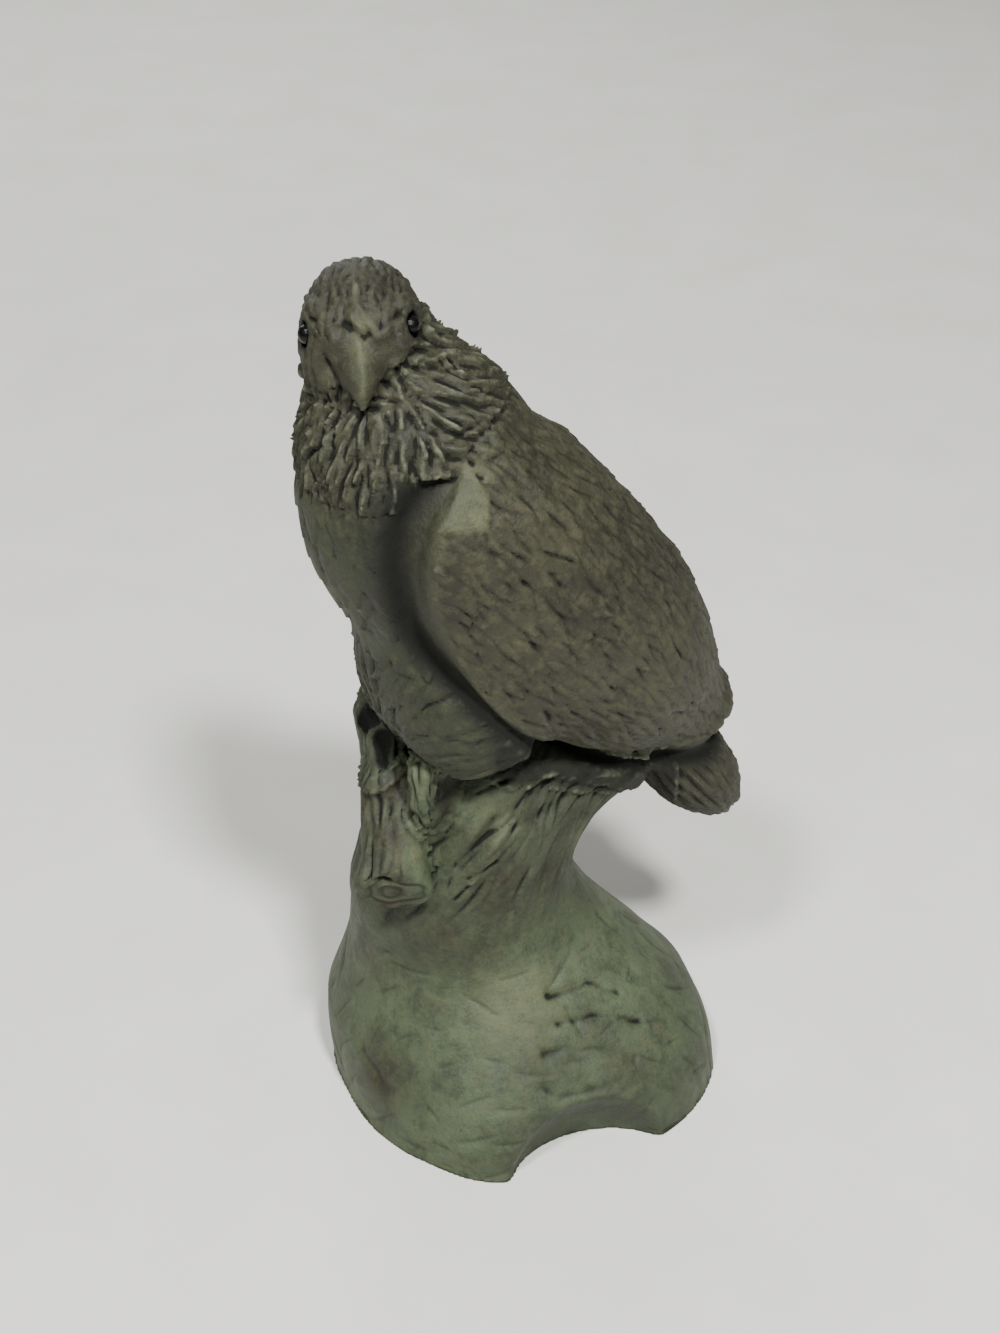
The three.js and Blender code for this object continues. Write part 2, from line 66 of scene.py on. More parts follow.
def overlap(a, b, k):
    return -join(-a, -b, k)


def cut(a, b, k):
    return -join(-a, b, k)


def smooth(value):
    t = np.clip(value, 0, 1)
    return t * t * (3 - 2 * t)


def unit(v):
    return v / (np.linalg.norm(v, axis=-1, keepdims=True) + 1e-9)


# Forms: each takes points as rows and gives their distances
def ellipsoid(at, size, turn=(0, 0, 0)):
    """Middle, half sizes, and turns about X, Y and Z in degrees, made about Z first and X last."""
    rotation = np.array(Euler([math.radians(v) for v in turn], "ZYX").to_matrix(), np.float32)
    middle = np.array(at, np.float32)
    half = np.array(size, np.float32)

    def form(p):
        q = ((p - middle) @ rotation) / half
        k0 = np.sqrt((q * q).sum(1))
        k1 = np.sqrt(((q / half) ** 2).sum(1)) + 1e-9
        return k0 * (k0 - 1) / k1

    return form


def rod(a, b):
    """A round rod between two ends, each given as its place and its radius."""
    start = np.array(a[:3], np.float32)
    line = np.array(b[:3], np.float32) - start

    def form(p):
        q = p - start
        t = np.clip(q @ line / (line @ line), 0, 1)
        return np.sqrt(((q - t[:, None] * line) ** 2).sum(1)) - a[3] - t * (b[3] - a[3])

    return form


def lumps(*rows):
    """Forms joined one after another, each given with the width of its join."""

    def form(p):
        d = rows[0][0](p)
        for part, k in rows[1:]:
            d = join(d, part(p), k)
        return d

    return form


def chain(points, k=1.0):
    """Rods from each point to the next."""
    return lumps(*[(rod(a, b), k) for a, b in zip(points, points[1:])])


# The bird in its own frame: x forward, y to its left, z up from the perch
BIRD_FRAME = Matrix.Translation((12, 0, 78)) @ Matrix.Rotation(math.radians(-150), 4, "Z")
HEAD_FRAME = (
    Matrix.Translation(BIRD_FRAME @ Vector((35.8, -5.9, 91)))
    @ Matrix.Rotation(math.radians(2), 4, "Z")
    @ Matrix.Rotation(math.radians(12), 4, "X")
    @ Matrix.Rotation(math.radians(-5), 4, "Y")
)


def into(frame_matrix, p):
    m = np.array(frame_matrix.inverted(), np.float32)
    return p @ m[:3, :3].T + m[:3, 3]


def out_of(frame_matrix, directions):
    return directions @ np.array(frame_matrix, np.float32)[:3, :3].T


torso = lumps(
    (ellipsoid((27, -1, 58), (27, 20, 22), (0, -75, 0)), 1),  # breast
    (ellipsoid((5, 0, 37), (40, 22, 19.5), (0, -50, 0)), 12),  # mantle
    (ellipsoid((19, -1, 31), (19, 18, 20)), 10),  # belly
    (rod((28.5, -3, 71.5, 15.5), (34.5, -6, 87, 9.8)), 10),  # neck
    (rod((-8, 0, 20, 15), (-28.5, 0, 0, 7)), 10),  # rump
)

# A folded wing: the torso raised by its thickness inside an oval, seen from the side
WING_AT = (-2.5, 34.5)
WING_SIZE = (50, 26)
WING_SLOPE = math.radians(42)
WING_THICKNESS = 3.2
WING_FADE = (62, 76)  # heights over which it runs out at the neck


def wing_oval(p):
    c, s = math.cos(WING_SLOPE), math.sin(WING_SLOPE)
    x, z = p[:, 0] - WING_AT[0], p[:, 2] - WING_AT[1]
    return (x * c + z * s) / WING_SIZE[0], (z * c - x * s) / WING_SIZE[1]


def wings(p, trunk_distance):
    along, across = wing_oval(p)
    oval = (np.hypot(along, across) - 1) * WING_SIZE[1]
    full = smooth((WING_FADE[1] - p[:, 2]) / (WING_FADE[1] - WING_FADE[0]))
    return overlap(trunk_distance - WING_THICKNESS * full, oval, 1.2)


tail = ellipsoid((-29, 0, -13), (21, 11, 9.5), (0, -52, 0))
thighs = [ellipsoid((23.5, side * 7 + 1, 21), (12, 10, 15), (0, 12, 0)) for side in (1, -1)]

# Toes over the edge of the perch, each from its root over the knuckle to the claw
toes = [
    chain([(24, -13, 8, 5), (29.5, -15, 7.5, 6), (30.5, -14.5, -5, 4.2), (29.5, -13, -13, 3)]),
    chain([(29, -7, 8, 3.6), (34, -6.5, 8, 3.3), (35, -5.5, 1, 3.6), (34.5, -5, -5, 1.8)]),
    chain([(28, 4, 9, 3.6), (33, 6, 7.5, 2.8), (33.3, 6.7, 1, 2.2), (31.3, 5.5, -5.5, 1.2)]),
]

# Stone left between the last toe and the stump behind it
toe_seat = lumps(
    (rod((31.5, 4.5, 3, 2.3), (27.5, 2.5, 1, 3)), 1),
    (rod((31.8, 5.3, -3, 1.8), (27.5, 2.5, -4, 3)), 4),
    (rod((30.8, 3.8, 8, 2.6), (27, 2, 6, 3.4)), 3),
)

# The dark hollows each side of the inner toe
toe_hollows = [
    chain([(35.2, -12.8, 7.5, 1.1), (35.4, -11.2, 11.5, 1.9), (36.3, -7.5, 13.6, 1.3)]),
    chain([(36.4, -3.4, 14, 1.4), (36, -3, 10, 2), (36.6, -2.2, 6, 1.2)]),
]


def bird_form(p):
    trunk_distance = torso(p)
    d = join(trunk_distance, wings(p, trunk_distance), 0.8)
    d = join(d, tail(p), 4)
    for thigh in thighs:
        d = join(d, thigh(p), 8)
    for toe in toes:
        d = join(d, toe(p), 1)
    d = join(d, toe_seat(p), 1.5)
    for hollow in toe_hollows:
        d = cut(d, hollow(p), 1)
    return d


# The head in its own frame: x to the bird's left, -y forward, z up, from the middle of the skull
head_form = lumps(
    (ellipsoid((0, 1.5, 0.2), (9.6, 11.5, 10.2)), 1),  # skull
    *[(ellipsoid((s * 4.8, -3.5, -3.5), (5, 7.5, 6.5)), 4) for s in (1, -1)],  # cheeks
    *[(ellipsoid((s * 5, -4, 2), (3.6, 6, 4.5)), 3) for s in (1, -1)],  # temples
    (rod((0, -6, 0.5, 6), (0, -11.5, -1, 3.6)), 2.5),  # beak
    (rod((0, -11.5, -0.8, 3.4), (0, -14.4, -2.8, 1.8)), 1.5),
    (rod((0, -14.4, -2.8, 1.8), (0, -15, -5.2, 0.9)), 1),  # its hook
    *[(rod((s * 3.5, -9, 4.4, 1.5), (s * 7.4, -3, 5.4, 1.6)), 2) for s in (1, -1)],  # brows
)
EYE_PLACE = (8.4, -4.6, 2.6)
SOCKET_RADIUS = 2.15


def sockets(p):
    """Distance of each place on the head from the nearer eye."""
    eyes = [np.array((side * EYE_PLACE[0], *EYE_PLACE[1:])) for side in (1, -1)]
    return np.min([np.sqrt(((p - eye) ** 2).sum(1)) for eye in eyes], axis=0)


# The base, its scoop, and the stump
CORNERS = [  # of the base, seen from above
    (-1, -43), (37, -28), (49, -6), (41, 26),
    (8, 39), (-24, 30), (-37, 2), (-26, -28),
]
CORNER_BLEND = 8
SLOPE_ROUND = 8  # softness of the turn from wall to slope
BASE_WALL = 13  # height of the walls
scoop = ellipsoid((20, -37, -2), (17, 12, 17), (0, 0, 20))


def base_form(p):
    """An outline with rounded corners, whose upright walls lean in above their height."""
    wall = None
    for i, (ax, ay) in enumerate(CORNERS):
        bx, by = CORNERS[(i + 1) % len(CORNERS)]
        side = ((p[:, 0] - ax) * (by - ay) - (p[:, 1] - ay) * (bx - ax)) / math.hypot(bx - ax, by - ay)
        wall = side if wall is None else overlap(wall, side, CORNER_BLEND)
    above = p[:, 2] - BASE_WALL
    return (wall + 0.5 * (above + np.hypot(above, SLOPE_ROUND))) * 0.75


trunk = chain([(-4, 3, 20, 30.5), (-7, 1, 44, 20.5), (-5, -1, 60, 18.2), (-4.5, -2, 70, 18)], 8)
flare = rod((-4, 0, 62, 16), (19, 7, 77, 14))
# The stub of a branch, sawn off by a plane that faces the front and a little down
STUB_ROOT = (-19.5, -12, 76, 6.3)
STUB_END = (-18.3, -26, 58, 6.5)
STUB_CUT = (-18.7, -24.5, 59.5)
STUB_DIP = math.radians(25)
stub_rod = lumps(
    (rod(STUB_ROOT, STUB_END), 1),
    (ellipsoid((-19, -24.5, 60.5), (7.7, 4, 5.8), (-30, 0, 8)), 2),  # wider at the sawn end
)
recess = ellipsoid((-10, -22, 77), (3, 5, 7), (0, 8, 0))


def past_stub(p):
    return -(p[:, 1] - STUB_CUT[1]) * math.cos(STUB_DIP) - (p[:, 2] - STUB_CUT[2]) * math.sin(STUB_DIP)


def stump_form(p):
    d = join(base_form(p), trunk(p), 9)
    d = join(d, flare(p), 8)
    d = join(d, overlap(stub_rod(p), past_stub(p), 0.8), 1.5)
    d = cut(d, recess(p), 1.5)
    return cut(d, scoop(p), 2)


# Heights outside which a form is too far off to matter
STUMP_ONLY_BELOW = 27
BIRD_ONLY_ABOVE = 108
HEAD_ABOVE = 141


def block_form(p):
    """Distance of each point from the skin of the block, below 0 inside."""
    d = np.empty(len(p), np.float32)
    z = p[:, 2]
    low = z < STUMP_ONLY_BELOW
    high = z > BIRD_ONLY_ABOVE
    layers = ((low, True, False), (high, False, True), (~low & ~high, True, True))
    for rows, with_stump, with_bird in layers:
        index = np.flatnonzero(rows)
        if len(index) == 0:
            continue
        q = p[index]
        found = None
        if with_bird:
            found = bird_form(into(BIRD_FRAME, q))
            top = q[:, 2] > HEAD_ABOVE
            if top.any():
                on_head = into(HEAD_FRAME, q[top]).astype(np.float32)
                found[top] = join(found[top], head_form(on_head), 3)
                found[top] = cut(found[top], sockets(on_head) - SOCKET_RADIUS, 0.3)
        if with_stump:
            stump = stump_form(q)
            found = stump if found is None else join(stump, found, 2)
        d[index] = found
    return d


def in_slices(form, p, size=200000):
    return np.concatenate([form(p[i:i + size]) for i in range(0, len(p), size)])


FAR = 9.0  # stands for any distance that isn't near the skin
BLOCK = 4  # steps across the blocks that are looked through first


# The skin, drawn through a lattice of samples
def near_samples(low, high):
    """Lattice of distances, worked out only near the skin and set to a far value elsewhere."""
    counts = [int(math.ceil((h - l) / STEP / BLOCK)) * BLOCK + 1 for l, h in zip(low, high)]
    field = np.full(counts, FAR, np.float32)
    blocks = [c // BLOCK for c in counts]
    index = np.stack(np.meshgrid(*[np.arange(b) for b in blocks], indexing="ij"), -1).reshape(-1, 3)
    middle = np.array(low, np.float32) + (index + 0.5).astype(np.float32) * BLOCK * STEP
    d = in_slices(block_form, middle)
    # Half a block's diagonal, and half as much again because the distances are not exact
    reach = BLOCK * STEP * 0.5 * math.sqrt(3) * 1.5
    offsets = np.stack(np.meshgrid(*[np.arange(BLOCK + 1)] * 3, indexing="ij"), -1).reshape(-1, 3)
    within = np.flatnonzero(d < -reach)
    spots = (index[within][:, None] * BLOCK + offsets[None]).reshape(-1, 3)
    field[spots[:, 0], spots[:, 1], spots[:, 2]] = -FAR
    near = np.flatnonzero(np.abs(d) <= reach)
    spots = (index[near][:, None] * BLOCK + offsets[None]).reshape(-1, 3)
    keys = np.unique(np.ravel_multi_index(spots.T, counts))
    spots = np.stack(np.unravel_index(keys, counts), -1)
    places = np.array(low, np.float32) + spots.astype(np.float32) * STEP
    field.reshape(-1)[keys] = in_slices(block_form, places)
    return field


def surface_nets(field, low):
    """Quads through the zero of a lattice of distances.

    Each cell that the zero crosses gets a vertex, and each lattice edge that crosses it a face.
    """
    signs = field < 0
    total = np.zeros([n - 1 for n in field.shape], np.int8)
    for dx in (0, 1):
        for dy in (0, 1):
            for dz in (0, 1):
                part = tuple(slice(o, o + n - 1) for o, n in zip((dx, dy, dz), field.shape))
                total += signs[part]
    active = (total > 0) & (total < 8)
    number = np.full(total.shape, -1, np.int64)
    spots = np.argwhere(active)
    number[active] = np.arange(len(spots))
    position = np.zeros((len(spots), 3), np.float32)
    weight = np.zeros(len(spots), np.float32)
    corners = [(x, y, z) for x in (0, 1) for y in (0, 1) for z in (0, 1)]
    for a in corners:
        for axis in range(3):
            if a[axis]:
                continue
            b = list(a)
            b[axis] = 1
            fa = field[tuple((spots + a).T)]
            fb = field[tuple((spots + b).T)]
            crosses = (fa < 0) != (fb < 0)
            t = np.where(crosses, fa / np.where(fa == fb, 1, fa - fb), 0)
            point = np.repeat(np.array([a], np.float32), len(spots), 0)
            point[:, axis] = t
            position += point * crosses[:, None]
            weight += crosses
    position = (position / weight[:, None] + spots) * STEP + np.array(low, np.float32)

    quads = []
    for axis in range(3):
        u, v = (axis + 1) % 3, (axis + 2) % 3
        a = [slice(1, n - 1) for n in field.shape]
        b = list(a)
        a[axis] = slice(0, field.shape[axis] - 1)
        b[axis] = slice(1, field.shape[axis])
        first, second = signs[tuple(a)], signs[tuple(b)]
        edges = np.argwhere(first != second)
        outward = first[tuple(edges.T)]
        start = edges + 1
        start[:, axis] -= 1
        corners_of_face = []
        for du, dv in ((0, 0), (-1, 0), (-1, -1), (0, -1)):
            at = start.copy()
            at[:, u] += du
            at[:, v] += dv
            corners_of_face.append(number[tuple(at.T)])
        face = np.stack(corners_of_face, -1)
        face[~outward] = face[~outward][:, ::-1]
        quads.append(face)
    return position, np.concatenate(quads)


def slope(form, p, reach=0.25):
    g = np.empty_like(p)
    for axis in range(3):
        step = np.zeros(3, np.float32)
        step[axis] = reach
        g[:, axis] = in_slices(form, p + step) - in_slices(form, p - step)
    return unit(g)


def edges_of(quads):
    pairs = np.concatenate([quads[:, [i, (i + 1) % 4]] for i in range(4)])
    return np.unique(np.sort(pairs, 1), axis=0)


def averaged(values, edges, rounds):
    count = np.bincount(edges.ravel(), minlength=len(values)).astype(np.float32)[:, None]
    v = values.reshape(len(values), -1).astype(np.float32)
    for _ in range(rounds):
        total = np.empty_like(v)
        for n in range(v.shape[1]):
            total[:, n] = (
                np.bincount(edges[:, 0], v[edges[:, 1], n], len(v))
                + np.bincount(edges[:, 1], v[edges[:, 0], n], len(v))
            )
        v = 0.5 * v + 0.5 * total / count
    return v.reshape(values.shape)


BOX_MARGIN = 2


def draw_skin():
    low, high = (np.array(v, np.float32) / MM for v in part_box("carving"))
    low, high = low - BOX_MARGIN, high + BOX_MARGIN
    low[2] = -2.5 * STEP  # a sample each side of the ground, so that the underside comes out flat
    field = near_samples(low, high)
    heights = (low[2] + np.arange(field.shape[2]) * STEP).astype(np.float32)
    field = np.maximum(field, -heights)
    return surface_nets(field, low)


points, quads = draw_skin()
edges = edges_of(quads)
GROUND = 0.3  # points below this height belong to the underside and stay where they are
EASING_ROUNDS = 2
on_ground = points[:, 2] < GROUND
for _ in range(EASING_ROUNDS):
    # Evens the skin out, then sets it back on the form
    eased = averaged(points, edges, 1)
    normals = slope(block_form, eased)
    eased -= normals * in_slices(block_form, eased)[:, None]
    points[~on_ground] = eased[~on_ground]
normals = slope(block_form, points)
print("skin with", len(points), "points")


# Where each point lies on the bird, and which part of the carving it belongs to
bird_at = into(BIRD_FRAME, points)
bird_x, bird_y, bird_z = bird_at.T
head_at = into(HEAD_FRAME, points)
head_x, head_y, head_z = head_at.T
bird_normal = normals @ np.array(BIRD_FRAME, np.float32)[:3, :3]
along, across = wing_oval(bird_at)
oval = (np.hypot(along, across) - 1) * WING_SIZE[1]
head_distance = in_slices(lambda p: head_form(into(HEAD_FRAME, p)), points)
bird_distance = in_slices(lambda p: bird_form(into(BIRD_FRAME, p)), points)
HEAD_FOOT = 150  # height of the lowest part of the head
HEAD_REACH, BIRD_REACH, TOE_REACH = 0.6, 0.8, 0.5  # how near its own form a point counts as on it
is_head = (head_distance < HEAD_REACH) & (points[:, 2] > HEAD_FOOT)
is_bird = (bird_distance < BIRD_REACH) | is_head
TOE_TOP = 12
toe_distance = np.min([toe(bird_at) for toe in toes], axis=0)
is_toe = is_bird & (toe_distance < TOE_REACH) & (bird_z < TOE_TOP)
# Under the rump the bird runs into the stump; the line between them falls towards the tail
BELLY_LINE = [(0, 80), (12, 76), (20, 72), (30, 65), (36, 58)]
above_belly_line = points[:, 2] - np.interp(points[:, 0], *np.array(BELLY_LINE, np.float32).T)
BELLY_TOP = 28
is_belly = (above_belly_line > 0) & (points[:, 0] > 0) & (points[:, 0] < BELLY_LINE[-1][0])
is_belly &= (oval > 0.5) & (bird_z < BELLY_TOP)
is_bird |= is_belly

# The ruff's lower edge, as its height at each distance forward: low at the breast, higher on the back
RUFF_EDGE = [(10, 78), (21, 77), (26.5, 75), (30.6, 72.6), (34.5, 69), (37, 65.5), (45, 64.5), (60, 67)]
ruff_edge = np.interp(bird_x, *np.array(RUFF_EDGE, np.float32).T)
above_edge = bird_z - ruff_edge
# The face: a smooth wedge from the brows to the beak's tip
FACE_LEFT = [(8.5, -8.6, 0.4), (5.7, -11.9, -2.5), (3.9, -14.1, -4.6), (0.2, -16.2, -6.6)]
FACE_RIGHT = [(-5.8, -9.8, 2.4), (-5.4, -11.3, -0.2), (-3.6, -13, -4.4), (0, -16.2, -6.6)]
FACE_TOP, FACE_BACK = 5.6, -6.5
CROWN_FOOT = 3.4
face_half_width = 0.8 + 6.5 * np.clip((head_z + 7) / 7.5, 0, 1)
is_face = is_head & (head_y < FACE_BACK) & (head_z < FACE_TOP) & (np.abs(head_x) < face_half_width)
is_crown = is_head & (head_z > CROWN_FOOT) & ~is_face
is_cheek = is_head & ~is_face & ~is_crown
is_ruff = is_bird & ~is_head & (above_edge > 0)
RIM_WIDTH = 1.4  # of the smooth edge of the wing
TAIL_START, THIGH_TOP, BREAST_START = -14, 33, 22
is_wing = is_bird & (oval < -RIM_WIDTH) & ~is_ruff
is_rim = is_bird & (oval >= -RIM_WIDTH) & (oval < 0.5) & ~is_ruff & (across < 0.35)
is_tail = is_bird & (bird_x < TAIL_START) & (oval > 0.5)
is_thigh = is_bird & (bird_z < THIGH_TOP) & (bird_x > TAIL_START) & (oval > 1) & ~is_toe
is_breast = is_bird & (oval > 1) & (bird_z >= THIGH_TOP) & (bird_x > BREAST_START) & ~is_ruff & ~is_head
is_back = is_bird & ~(is_wing | is_rim | is_ruff | is_head | is_tail | is_thigh | is_breast | is_toe)
on_stub = (stub_rod(points) < 1.5) & (past_stub(points) < 1) & ~is_bird
STUMP_FOOT = 38  # height at which the stump rises out of the base
is_stump = ~is_bird & (points[:, 2] > STUMP_FOOT) & ~on_stub
is_base = ~is_bird & (points[:, 2] <= STUMP_FOOT)


def spread(mask, gap):
    """Points picked at random among those of the mask, none closer than the gap to one before."""
    chosen = []
    left = np.flatnonzero(mask)
    left = left[rng.permutation(len(left))]
    while len(left):
        first = left[0]
        chosen.append(first)
        left = left[((points[left] - points[first]) ** 2).sum(1) > gap * gap]
    return chosen


def stroke_axes(i, way, curl):
    """Along and across a stroke at a point: the way laid on the skin and turned a little at random."""
    n = normals[i]
    way = unit(way - n * (way @ n))
    side = np.cross(n, way)
    turn = rng.normal(0, curl)
    c, s = math.cos(turn), math.sin(turn)
    return way * c + side * s, side * c - way * s


def leaves(mask, way_at, gap, length, width, rise, groove=0.0, curl=0.12, crown=0.5):
    """Overlapping leaf-shaped plates: each rises from its root towards its pointed tip.

    A low crown makes a flat plate and a high one a ridge; the groove runs down its middle.
    """
    height = np.zeros(len(points), np.float32)
    area = np.flatnonzero(averaged(mask.astype(np.float32), edges, 6) > 0.02)
    for i in spread(mask, gap):
        way, side = stroke_axes(i, way_at(i), curl)
        size = rng.uniform(0.75, 1.25)
        q = points[area] - points[i]
        u = q @ way / (length * size) + 0.5
        v = q @ side / (width * size * 0.5)
        near = (u > 0) & (u < 1) & (np.abs(q @ normals[i]) < length * 0.6)
        u, v, rows = u[near], v[near], area[near]
        half = np.clip(np.sin(np.pi * u ** 0.7), 0, 1) ** 0.85 + 1e-3
        profile = np.clip(1 - (v / half) ** 2, 0, 1) ** crown
        h = rise * size * (0.2 + 0.8 * u) * profile
        h -= groove * np.exp(-(v / 0.2) ** 2) * np.sin(np.pi * u) * (np.abs(v) < half)
        height[rows] = np.maximum(height[rows], h)
    return height


def strokes(mask, way_at, gap, length, width, depth, curl=0.12):
    """Gouge strokes: troughs that bend a little and run out at both ends."""
    height = np.zeros(len(points), np.float32)
    area = np.flatnonzero(averaged(mask.astype(np.float32), edges, 6) > 0.02)
    for i in spread(mask, gap):
        way, side = stroke_axes(i, way_at(i), curl)
        size = rng.uniform(0.5, 1.5)
        q = points[area] - points[i]
        u = q @ way / (length * size * 0.5)
        v = q @ side / (width * size * 0.5) + rng.normal(0, 0.6) * u * u
        near = (np.abs(u) < 1) & (np.abs(v) < 2.2) & (np.abs(q @ normals[i]) < length * 0.6)
        u, v, rows = u[near], v[near], area[near]
        h = -depth * size * (1 - u * u) * np.exp(-v * v * 1.5)
        height[rows] = np.minimum(height[rows], h)
    return height


def from_line(line, at):
    """Distance of each place from a broken line."""
    line = np.array(line, np.float32)
    return np.min([rod((*a, 0), (*b, 0))(at) for a, b in zip(line, line[1:])], axis=0)


def incise(line, at, width, depth):
    """A cut along a line, as wide as the width at half its depth."""
    return -depth * np.exp(-(from_line(line, at) / width * 1.67) ** 2)


def spot(middle, radius, at):
    return smooth(1 - np.sqrt(((at - np.array(middle, np.float32)) ** 2).sum(1)) / radius)


def bird_way(*way):
    fixed = out_of(BIRD_FRAME, np.array(way, np.float32))
    return lambda i: fixed


def ruff_way(i):
    # Down the throat, and swept back at the sides
    swept = np.array((-0.9, 0, -0.45), np.float32)
    front = np.array((0.1, 0, -1), np.float32)
    t = smooth((bird_normal[i, 0] + 0.15) / 0.75)
    return out_of(BIRD_FRAME, swept + t * (front - swept))


def thigh_way(i):
    # Round the thigh and down towards the toes
    return out_of(BIRD_FRAME, np.array((0.9, 0, -0.45), np.float32))


def stump_way(i):
    # The gouges climb to the right across the front, and run upright round the back
    front = np.array((0.62, -0.1, 0.75), np.float32)
    return front if normals[i, 1] < 0.3 else np.array((0, 0, 1), np.float32)


FEATHER_SLOPE = WING_SLOPE + 0.15  # a little steeper than the wing
WING_WAY = bird_way(-math.cos(FEATHER_SLOPE), 0, -math.sin(FEATHER_SLOPE))
TAIL_WAY = bird_way(-0.62, 0, -0.79)
DOWN = bird_way(-0.15, 0, -1)


def crown_way(i):
    return out_of(HEAD_FRAME, np.array((0, 1, 0.15), np.float32))


def base_way(i):
    return np.array((1, 0.35, 0), np.float32)


# Feathers and gouges, part by part: gap between them, length, width, height or depth, and shape
carved = np.zeros(len(points), np.float32)
LOCK_ROOTS_ABOVE = 2.5  # of the ruff's lower edge, past which the tips still reach
locks = leaves(
    is_ruff & (above_edge > LOCK_ROOTS_ABOVE), ruff_way,
    gap=2.3, length=12, width=3.6, rise=2.1, groove=0.25, curl=0.24, crown=1.1,
)
locks += strokes(is_ruff, ruff_way, gap=1.8, length=7, width=0.9, depth=1.0, curl=0.3)
carved += locks * (0.45 + 0.55 * smooth((above_edge + 2) / 10))
carved += leaves(is_cheek, ruff_way, gap=1.8, length=6, width=1.6, rise=0.7, groove=0, curl=0.2)
carved += leaves(
    is_crown, crown_way,
    gap=1.8, length=6, width=1.6, rise=0.5, groove=0, curl=0.15, crown=0.3,
)
carved += strokes(is_crown, crown_way, gap=1.6, length=4, width=0.7, depth=0.45, curl=0.2)
carved += leaves(is_breast, DOWN, gap=4.5, length=10, width=5.5, rise=0.8, groove=0, curl=0.15, crown=0.3)
plumage = is_wing | is_back
carved += leaves(
    plumage, WING_WAY,
    gap=3.4, length=14, width=4.2, rise=0.9, groove=0.1, curl=0.14, crown=0.3,
)
carved += strokes(plumage, WING_WAY, gap=2.2, length=9, width=0.8, depth=0.3, curl=0.2)
thigh_feathers = leaves(
    is_thigh, thigh_way,
    gap=3, length=14, width=3.2, rise=1.2, groove=0.15, curl=0.2, crown=0.4,
)
carved += thigh_feathers * smooth((THIGH_TOP + 2 - bird_z) / 7)
carved += strokes(is_toe, DOWN, gap=2.2, length=9, width=1.2, depth=0.6, curl=0.15)
carved += strokes(is_tail, TAIL_WAY, gap=2.2, length=13, width=1.7, depth=0.8)
gouges = strokes(is_stump, stump_way, gap=6, length=24, width=3.6, depth=0.75, curl=0.15)
gouges += strokes(is_stump, stump_way, gap=3, length=12, width=0.9, depth=0.38, curl=0.25)
# The gouges run out above the base, and spare the smooth top in front
GOUGE_FADE = 18
smooth_top = spot((-2, -23, 82), 16, points)
carved += gouges * smooth((points[:, 2] - STUMP_FOOT) / GOUGE_FADE) * (1 - smooth_top)
carved += strokes(is_base, base_way, gap=7, length=9, width=1.3, depth=0.3, curl=0.6)
carved += strokes(is_base, base_way, gap=11, length=5, width=3.5, depth=0.25, curl=1.5)
# The belly stands a millimetre proud of the stump where it runs into it
carved += is_belly * smooth(above_belly_line / 1.6) * smooth(points[:, 0] / 6) * smooth((oval - 0.5) / 3)

# The wing stands proud of the body, with a deep cut under its edge
UNDER_WING_TOP = 72
under_wing = (across < 0.25) & (bird_z < UNDER_WING_TOP) & is_bird
carved *= 1 - under_wing * np.exp(-((oval - 0.8) / 1.3) ** 2)
carved -= under_wing * 1.5 * np.exp(-((oval - 1.3) / 1.0) ** 2)

# Face: a line down each side of the beak, the pointed brow, the raised forehead and the beak's ridge
FACE_LINE_DROP = np.array((0, 0, 0.6), np.float32)
for line in (FACE_LEFT, FACE_RIGHT):
    carved += is_head * incise(line, head_at + FACE_LINE_DROP, 1.3, 1.1)
BROW = [(-8.6, -5, 6.2), (-1.2, -8.2, 6.2), (1.1, -9.8, 4.6), (3.2, -8.9, 5.6), (8.4, -5.4, 6.4)]
carved += is_head * incise(BROW, head_at, 1.1, 1.4)
FOREHEAD = [(1, -8.8, 6.4), (0.8, -3, 9.8)]
carved += is_head * 0.7 * np.exp(-(from_line(FOREHEAD, head_at) / 2.2) ** 2)
RIDGE = [(0.4, -10.7, 4.0), (0.5, -13.4, 2.2), (0.2, -15.8, -1.4), (0, -16.2, -5)]
carved += is_head * 0.55 * np.exp(-(from_line(RIDGE, head_at) / 0.9) ** 2)

# Stub: upright grooves, splinters between them, and rings of grain on the sawn end
SPLINTERS_END = -17  # the right side of the stub is smooth


def stub_way(i):
    return np.array((0.05, 0.5, 0.85), np.float32)


stub_at = points - np.array(STUB_CUT, np.float32)
GROOVE_TOP, GROOVE_FOOT = (-18.5, 77), (-26.5, 64)
# Each groove's place across the stub at its top and at its foot, and its depth
STUB_GROOVES = [(-25.2, -25.8, 0.9), (-23.6, -23.9, 1.3), (-21.6, -21.4, 1.0), (-19.6, -19.9, 1.4)]
for top_x, foot_x, depth in STUB_GROOVES:
    carved += on_stub * incise([(top_x, *GROOVE_TOP), (foot_x, *GROOVE_FOOT)], points, 1.3, depth)
CUT_TOP = 64  # height of the upper edge of the sawn end
on_cut = on_stub & (normals[:, 1] < -0.6) & (normals[:, 2] < 0.1) & (points[:, 2] < CUT_TOP)
splinters = strokes(on_stub & ~on_cut, stub_way, gap=2.6, length=7, width=1.3, depth=0.5, curl=0.25)
carved += splinters * (points[:, 0] < SPLINTERS_END) * ~on_cut
rings = np.sqrt((stub_at[:, 0] * 0.75) ** 2 + (stub_at[:, 2] - 0.5) ** 2)
ring_bend = 1.3 * np.sin(stub_at[:, 0] * 0.9) + 0.7 * np.sin(points[:, 2] * 1.7)
carved += on_cut * 0.25 * np.sin(rings * 2.9 + ring_bend)

